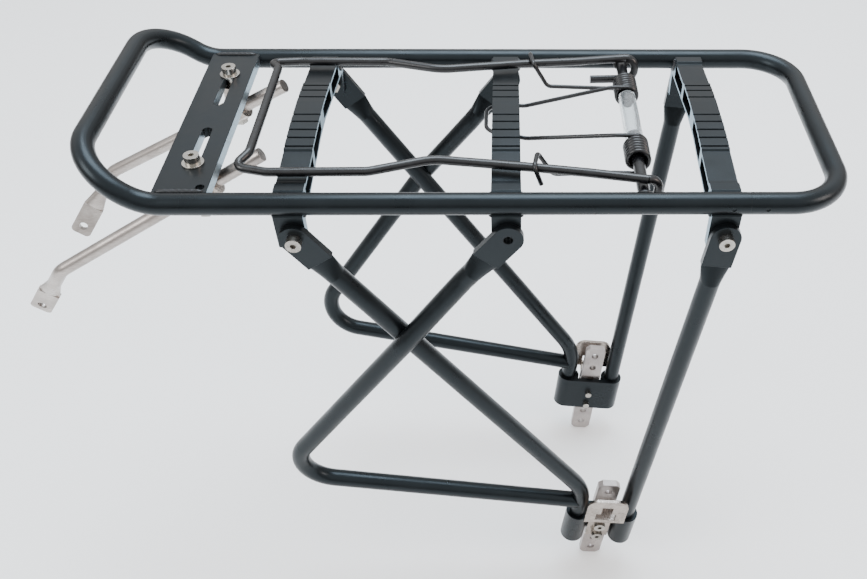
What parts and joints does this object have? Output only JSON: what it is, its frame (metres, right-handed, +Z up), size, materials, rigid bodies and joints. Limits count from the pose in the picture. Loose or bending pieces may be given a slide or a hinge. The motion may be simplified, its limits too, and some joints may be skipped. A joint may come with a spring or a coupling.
{
  "type": "bicycle rear carrier",
  "caption": "Tubular rear carrier for a bicycle with ribbed cross-bars, a spring clamp, bent tube legs with slotted feet and adjustable front stays.",
  "frame": {"origin": "centre plane above the middle cross-bar, at the height of the side tubes' axes", "axes": "+X to the back of the bicycle, -Y to its left, +Z up"},
  "size_m": [0.4878, 0.1866, 0.3816],
  "materials": {
    "black_anodised": "satin black anodised",
    "raw_aluminium": "raw, lightly brushed",
    "plated_steel": "bright plated",
    "zinc_screws": "zinc plated",
    "black_wire": "black coated spring wire",
    "clear_sleeve": "clear plastic tube"
  },
  "bodies": {
    "frame": {"clip_pin_left": "plated_steel", "clip_pin_right": "plated_steel", "clip_sleeve": "clear_sleeve", "clip_spring": "black_wire", "deck_front_tube": "black_anodised", "deck_joint_ferrules": "raw_aluminium", "deck_rear_tube": "black_anodised", "foot_bracket_left": "black_anodised", "foot_bracket_right": "black_anodised", "foot_screws": "zinc_screws", "foot_strip_left": "raw_aluminium", "foot_strip_right": "raw_aluminium", "front_crossbar": "black_anodised", "front_leg_left": "black_anodised", "front_leg_right": "black_anodised", "front_plate": "black_anodised", "leg_nuts": "zinc_screws", "leg_screws": "zinc_screws", "middle_crossbar": "black_anodised", "middle_leg_left": "black_anodised", "middle_leg_right": "black_anodised", "rear_crossbar": "black_anodised", "rear_leg_left": "black_anodised", "rear_leg_right": "black_anodised", "t_slot_plate_left": "plated_steel", "t_slot_plate_right": "plated_steel"},
    "clip": {"clip_bail": "black_wire", "spring_arm_left": "black_wire", "spring_arm_right": "black_wire"},
    "slot_screw_left": {"clamp_screw_left": "zinc_screws", "clamp_washer_left": "zinc_screws", "clamp_nut_left": "zinc_screws"},
    "stay_clamp_left": {"strut_clamp_left": "plated_steel"},
    "stay_left": {"strut_left": "raw_aluminium"},
    "slot_screw_right": {"clamp_screw_right": "zinc_screws", "clamp_washer_right": "zinc_screws", "clamp_nut_right": "zinc_screws"},
    "stay_clamp_right": {"strut_clamp_right": "plated_steel"},
    "stay_right": {"strut_right": "raw_aluminium"}
  },
  "joints": [
    {"name": "clip_lift", "type": "hinge", "parent": "frame", "child": "clip", "pos_m": [0.074, 0, 0], "axis": [0, 1, 0], "range_deg": [0, 95], "stiffness_Nm_per_rad": 0.25, "springref_deg": -22.92},
    {"name": "clamp_slide_left", "type": "slide", "parent": "frame", "child": "slot_screw_left", "axis": [0, 1, 0], "range_m": [0, 0.022]},
    {"name": "clamp_swivel_left", "type": "hinge", "parent": "slot_screw_left", "child": "stay_clamp_left", "pos_m": [-0.17, -0.048, 0], "axis": [0, 0, 1], "range_deg": [-6, 6]},
    {"name": "stay_slide_left", "type": "slide", "parent": "stay_clamp_left", "child": "stay_left", "axis": [-0.8697, -0.0929, -0.4848], "range_m": [0, 0.025]},
    {"name": "clamp_slide_right", "type": "slide", "parent": "frame", "child": "slot_screw_right", "axis": [0, -1, 0], "range_m": [0, 0.022]},
    {"name": "clamp_swivel_right", "type": "hinge", "parent": "slot_screw_right", "child": "stay_clamp_right", "pos_m": [-0.17, 0.048, 0], "axis": [0, 0, 1], "range_deg": [-6, 6]},
    {"name": "stay_slide_right", "type": "slide", "parent": "stay_clamp_right", "child": "stay_right", "axis": [-0.8697, 0.0929, -0.4848], "range_m": [0, 0.025]}
  ]
}
